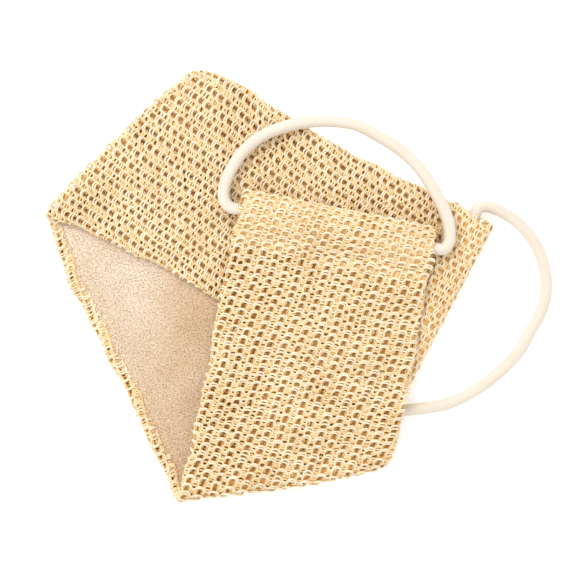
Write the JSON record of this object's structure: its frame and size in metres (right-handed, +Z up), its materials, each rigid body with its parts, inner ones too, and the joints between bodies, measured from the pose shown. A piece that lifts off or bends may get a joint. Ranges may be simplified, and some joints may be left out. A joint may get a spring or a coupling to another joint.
{
  "type": "loofah back scrubber",
  "caption": "Folded back-scrubbing strap with a coarse knitted face, a terry back and a cord loop through the hem at each end.",
  "frame": {"origin": "middle of the folded strap's outline, without the free cord of its loops, on the surface it lies on", "axes": "+Z up out of the surface, +X along the folded strap's longer side, +Y from the bottom fold towards the front panel's end"},
  "size_m": [0.2708, 0.23, 0.0224],
  "materials": {
    "knit": "coarse knitted plant-fibre yarn, matt with bright highlights",
    "terry": "short looped cotton pile",
    "cord": "smooth, finely woven round cord",
    "thread": "twisted sewing yarn"
  },
  "bodies": {
    "under": {"under_knit": "knit", "under_terry": "terry", "under_left_edge": "knit", "under_right_edge": "knit", "bottom_fold_knit_lower": "knit", "bottom_fold_terry_lower": "terry", "side_fold_knit_lower": "knit", "side_fold_terry_lower": "terry"},
    "front": {"front_knit": "knit", "front_terry": "terry", "front_left_edge": "knit", "front_right_edge": "knit", "bottom_fold_knit_upper": "knit", "bottom_fold_terry_upper": "terry", "front_hem": "knit", "front_hem_seam": "thread"},
    "front_loop": {"front_loop_end_a": "cord", "front_loop_end_b": "cord", "front_loop_splice": "thread", "front_loop_cord": "cord"},
    "rear": {"rear_knit": "knit", "rear_terry": "terry", "rear_left_edge": "knit", "rear_right_edge": "knit", "side_fold_knit_upper": "knit", "side_fold_terry_upper": "terry", "rear_hem": "knit", "rear_hem_seam": "thread"},
    "rear_loop": {"rear_loop_end_a": "cord", "rear_loop_end_b": "cord", "rear_loop_splice": "thread", "rear_loop_cord": "cord"}
  },
  "joints": [
    {"name": "front_fold", "type": "hinge", "parent": "under", "child": "front", "pos_m": [0.00816, -0.10829, 0.00925], "axis": [0.9923, 0.1236, 0], "range_deg": [0, 179.5]},
    {"name": "rear_fold", "type": "hinge", "parent": "under", "child": "rear", "pos_m": [-0.08031, 0.07719, 0.006], "axis": [-0.7206, -0.6934, 0], "range_deg": [0, 26.93]},
    {"name": "front_loop_swing", "type": "hinge", "parent": "front", "child": "front_loop", "pos_m": [0.03593, 0.0276, 0.0177], "axis": [-0.9806, 0.1959, 0], "range_deg": [-150, 0]},
    {"name": "rear_loop_swing", "type": "hinge", "parent": "rear", "child": "rear_loop", "pos_m": [0.08527, -0.01038, 0.0073], "axis": [-0.4648, -0.8854, 0], "range_deg": [0, 107.7]}
  ],
  "couplings": [
    {"joint": "rear_fold", "follows": "front_fold", "ratio": 0.15},
    {"joint": "rear_loop_swing", "follows": "front_fold", "ratio": 0.6}
  ]
}
